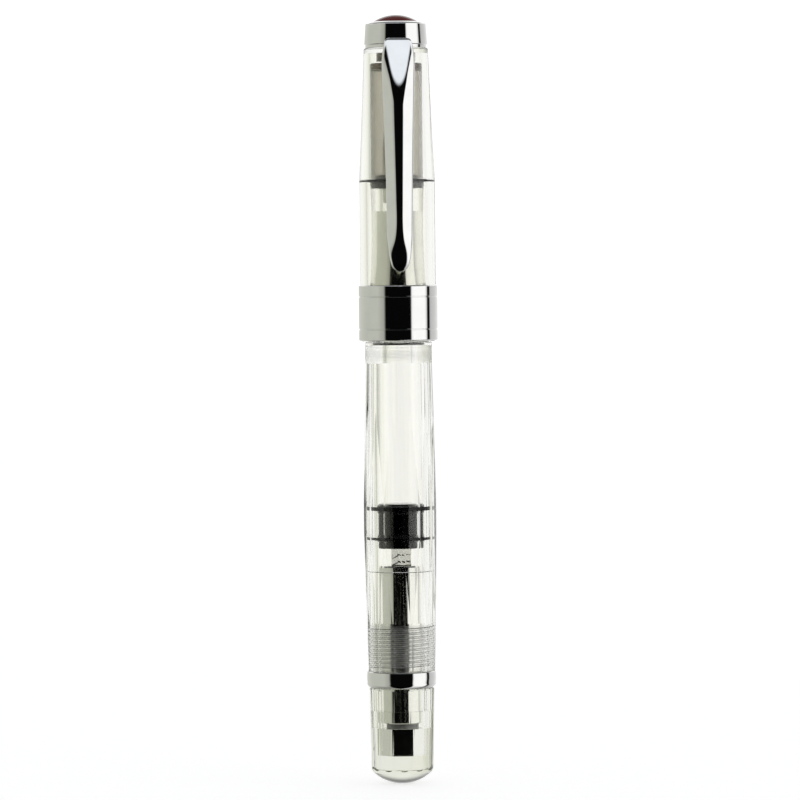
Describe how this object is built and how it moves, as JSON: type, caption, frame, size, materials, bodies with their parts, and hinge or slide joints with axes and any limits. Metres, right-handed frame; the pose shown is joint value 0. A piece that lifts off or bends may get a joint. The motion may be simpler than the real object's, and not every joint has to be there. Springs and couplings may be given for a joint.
{
  "type": "piston fountain pen",
  "caption": "Capped clear fountain pen with a faceted barrel, plated trim, a screw cap with a spring clip, and a piston filler worked by a turning knob.",
  "frame": {"origin": "on the pen's axis at the middle of the cap band's length, seen as the seat of a sleeve round the band", "axes": "+Z along the axis towards the cap's crown, -Y towards the clip, +X to the right when the clip faces the viewer"},
  "size_m": [0.0146, 0.0169, 0.142],
  "materials": {
    "red_jewel": "glossy dark red enamel",
    "crown_chrome": "mirror chrome plate",
    "crown_screw_clear": "clear plastic with a smoky tint",
    "clip_ring_chrome": "mirror chrome plate",
    "clip_chrome": "mirror chrome plate",
    "cap_clear": "clear polished acrylic",
    "band_chrome": "mirror chrome plate",
    "inner_cap_smoke": "translucent frosted plastic",
    "seal_rubber": "matt black rubber",
    "nib_steel": "polished stainless steel",
    "pellet_metal": "bright hard alloy",
    "feed_black": "matt black plastic",
    "collar_black": "black plastic",
    "section_clear": "clear polished acrylic",
    "sleeve_metal": "polished metal",
    "section_seal_rubber": "matt black rubber",
    "barrel_clear": "clear polished acrylic",
    "piston_rubber": "smooth black rubber",
    "rod_clear": "clear plastic",
    "guide_chrome": "mirror chrome plate",
    "housing_chrome": "mirror chrome plate",
    "nut_black": "black plastic",
    "spindle_grey": "grey plastic",
    "tail_ring_chrome": "mirror chrome plate",
    "insert_steel": "turned steel",
    "knob_clear": "clear polished acrylic"
  },
  "bodies": {
    "barrel": {"barrel": "barrel_clear", "grip_section": "section_clear", "grip_sleeve": "sleeve_metal", "section_seal": "section_seal_rubber", "nib_collar": "collar_black", "nib": "nib_steel", "nib_pellet": "pellet_metal", "feed": "feed_black", "drive_housing": "housing_chrome", "rod_guide": "guide_chrome", "retaining_nut": "nut_black", "tail_ring": "tail_ring_chrome"},
    "piston": {"piston": "piston_rubber", "piston_rod": "rod_clear"},
    "knob": {"knob": "knob_clear", "knob_insert": "insert_steel", "spindle": "spindle_grey"},
    "inner_cap": {"inner_cap": "inner_cap_smoke", "inner_cap_seal": "seal_rubber"},
    "cap": {"cap_shell": "cap_clear", "cap_band": "band_chrome", "crown": "crown_chrome", "crown_jewel": "red_jewel", "crown_screw": "crown_screw_clear", "clip_ring": "clip_ring_chrome"},
    "clip": {"clip": "clip_chrome"}
  },
  "joints": [
    {"name": "cap_lift", "type": "slide", "parent": "barrel", "child": "inner_cap", "axis": [0, 0, 1], "range_m": [0, 0.06]},
    {"name": "cap_turn", "type": "hinge", "parent": "inner_cap", "child": "cap", "pos_m": [0, 0, 0], "axis": [0, 0, 1], "range_deg": [0, 450]},
    {"name": "clip_flex", "type": "hinge", "parent": "cap", "child": "clip", "pos_m": [0, -0.00615, 0.04915], "axis": [-1, 0, 0], "range_deg": [0, 4]},
    {"name": "knob_turn", "type": "hinge", "parent": "barrel", "child": "knob", "pos_m": [0, 0, -0.078], "axis": [0, 0, -1], "range_deg": [0, 1440]},
    {"name": "piston_travel", "type": "slide", "parent": "barrel", "child": "piston", "axis": [0, 0, 1], "range_m": [0, 0.023]}
  ],
  "couplings": [
    {"joint": "piston_travel", "follows": "knob_turn", "m_per_rad": 0.00091514}
  ]
}
